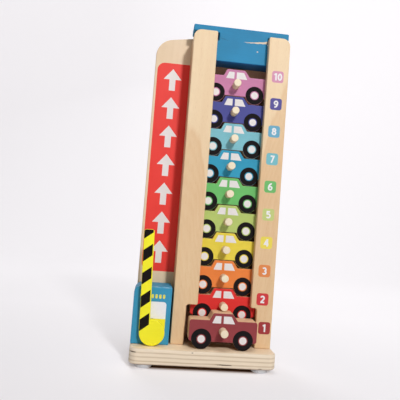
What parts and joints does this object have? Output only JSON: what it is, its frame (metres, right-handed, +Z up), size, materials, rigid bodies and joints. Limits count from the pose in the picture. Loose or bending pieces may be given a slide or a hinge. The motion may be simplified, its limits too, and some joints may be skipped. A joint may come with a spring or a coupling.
{
  "type": "toy parking garage",
  "caption": "Upright wooden toy garage: car boards stacked in a slotted tower, a lift-out roof, a ticket booth and a swinging gate arm.",
  "frame": {"origin": "on the floor, under the middle of the model's box, from the pulled-out car's peg to the base's rear edge", "axes": "+Z up, the slotted front faces -Y, +X is to the right as seen from the front"},
  "size_m": [0.149, 0.094, 0.3643],
  "materials": {
    "plywood": "clear-lacquered plywood, ply lines on the edges",
    "board_wood": "satin clear-lacquered solid wood",
    "blue_paint": "satin blue paint on wood",
    "yellow_paint": "satin yellow paint on wood with black slanted stripes",
    "dowel_wood": "clear-lacquered beech dowel",
    "washer_plastic": "plain white nylon",
    "clear_bumper": "clear soft plastic bumper",
    "screw_steel": "zinc-plated steel",
    "car_1_paint": "maroon print on the front, bare lacquered wood behind",
    "car_2_paint": "red print on the front, bare lacquered wood behind",
    "car_3_paint": "orange print on the front, bare lacquered wood behind",
    "car_4_paint": "yellow print on the front, bare lacquered wood behind",
    "car_5_paint": "lime print on the front, bare lacquered wood behind",
    "car_6_paint": "green print on the front, bare lacquered wood behind",
    "car_7_paint": "blue print on the front, bare lacquered wood behind",
    "car_8_paint": "aqua print on the front, bare lacquered wood behind",
    "car_9_paint": "indigo print on the front, bare lacquered wood behind",
    "car_10_paint": "pink print on the front, bare lacquered wood behind"
  },
  "bodies": {
    "tower": {"base_plate": "plywood", "foot_front_left": "clear_bumper", "foot_front_right": "clear_bumper", "foot_rear_left": "clear_bumper", "foot_rear_right": "clear_bumper", "base_screw_bar_left": "screw_steel", "base_screw_bar_right": "screw_steel", "base_screw_booth_left": "screw_steel", "base_screw_booth_right": "screw_steel", "base_screw_wing": "screw_steel", "base_screw_back": "screw_steel", "front_post_left": "board_wood", "front_post_right": "board_wood", "side_bar_left": "board_wood", "side_bar_right": "board_wood", "back_board": "board_wood", "ticket_booth": "blue_paint"},
    "gate_arm": {"gate_arm": "yellow_paint", "arm_pivot_dowel": "dowel_wood", "arm_washer": "washer_plastic", "pivot_retainer_washer": "washer_plastic", "pivot_retainer_screw": "screw_steel"},
    "roof_block": {"roof_block": "blue_paint"},
    "car_1": {"car_1": "car_1_paint", "car_peg_1": "dowel_wood"},
    "car_2": {"car_2": "car_2_paint", "car_peg_2": "dowel_wood"},
    "car_3": {"car_3": "car_3_paint", "car_peg_3": "dowel_wood"},
    "car_4": {"car_4": "car_4_paint", "car_peg_4": "dowel_wood"},
    "car_5": {"car_5": "car_5_paint", "car_peg_5": "dowel_wood"},
    "car_6": {"car_6": "car_6_paint", "car_peg_6": "dowel_wood"},
    "car_7": {"car_7": "car_7_paint", "car_peg_7": "dowel_wood"},
    "car_8": {"car_8": "car_8_paint", "car_peg_8": "dowel_wood"},
    "car_9": {"car_9": "car_9_paint", "car_peg_9": "dowel_wood"},
    "car_10": {"car_10": "car_10_paint", "car_peg_10": "dowel_wood"}
  },
  "joints": [
    {"name": "gate_arm_swing", "type": "hinge", "parent": "tower", "child": "gate_arm", "pos_m": [-0.0535, -0.03245, 0.0338], "axis": [0, 1, 0], "range_deg": [-88, 70]},
    {"name": "roof_lift", "type": "slide", "parent": "tower", "child": "roof_block", "axis": [0, 0, 1], "range_m": [0, 0.035]},
    {"name": "car_1_pull", "type": "slide", "parent": "tower", "child": "car_1", "axis": [0, -1, 0], "range_m": [-0.0018, 0.03]},
    {"name": "car_2_lift", "type": "slide", "parent": "tower", "child": "car_2", "axis": [0, 0, 1], "range_m": [0, 0.0072]},
    {"name": "car_3_lift", "type": "slide", "parent": "tower", "child": "car_3", "axis": [0, 0, 1], "range_m": [0, 0.0072]},
    {"name": "car_4_lift", "type": "slide", "parent": "tower", "child": "car_4", "axis": [0, 0, 1], "range_m": [0, 0.0072]},
    {"name": "car_5_lift", "type": "slide", "parent": "tower", "child": "car_5", "axis": [0, 0, 1], "range_m": [0, 0.0072]},
    {"name": "car_6_lift", "type": "slide", "parent": "tower", "child": "car_6", "axis": [0, 0, 1], "range_m": [0, 0.0072]},
    {"name": "car_7_lift", "type": "slide", "parent": "tower", "child": "car_7", "axis": [0, 0, 1], "range_m": [0, 0.0072]},
    {"name": "car_8_lift", "type": "slide", "parent": "tower", "child": "car_8", "axis": [0, 0, 1], "range_m": [0, 0.0072]},
    {"name": "car_9_lift", "type": "slide", "parent": "tower", "child": "car_9", "axis": [0, 0, 1], "range_m": [0, 0.0072]},
    {"name": "car_10_lift", "type": "slide", "parent": "tower", "child": "car_10", "axis": [0, 0, 1], "range_m": [0, 0.0072]}
  ],
  "couplings": [
    {"joint": "car_3_lift", "follows": "car_2_lift", "ratio": 1},
    {"joint": "car_4_lift", "follows": "car_2_lift", "ratio": 1},
    {"joint": "car_5_lift", "follows": "car_2_lift", "ratio": 1},
    {"joint": "car_6_lift", "follows": "car_2_lift", "ratio": 1},
    {"joint": "car_7_lift", "follows": "car_2_lift", "ratio": 1},
    {"joint": "car_8_lift", "follows": "car_2_lift", "ratio": 1},
    {"joint": "car_9_lift", "follows": "car_2_lift", "ratio": 1},
    {"joint": "car_10_lift", "follows": "car_2_lift", "ratio": 1}
  ]
}
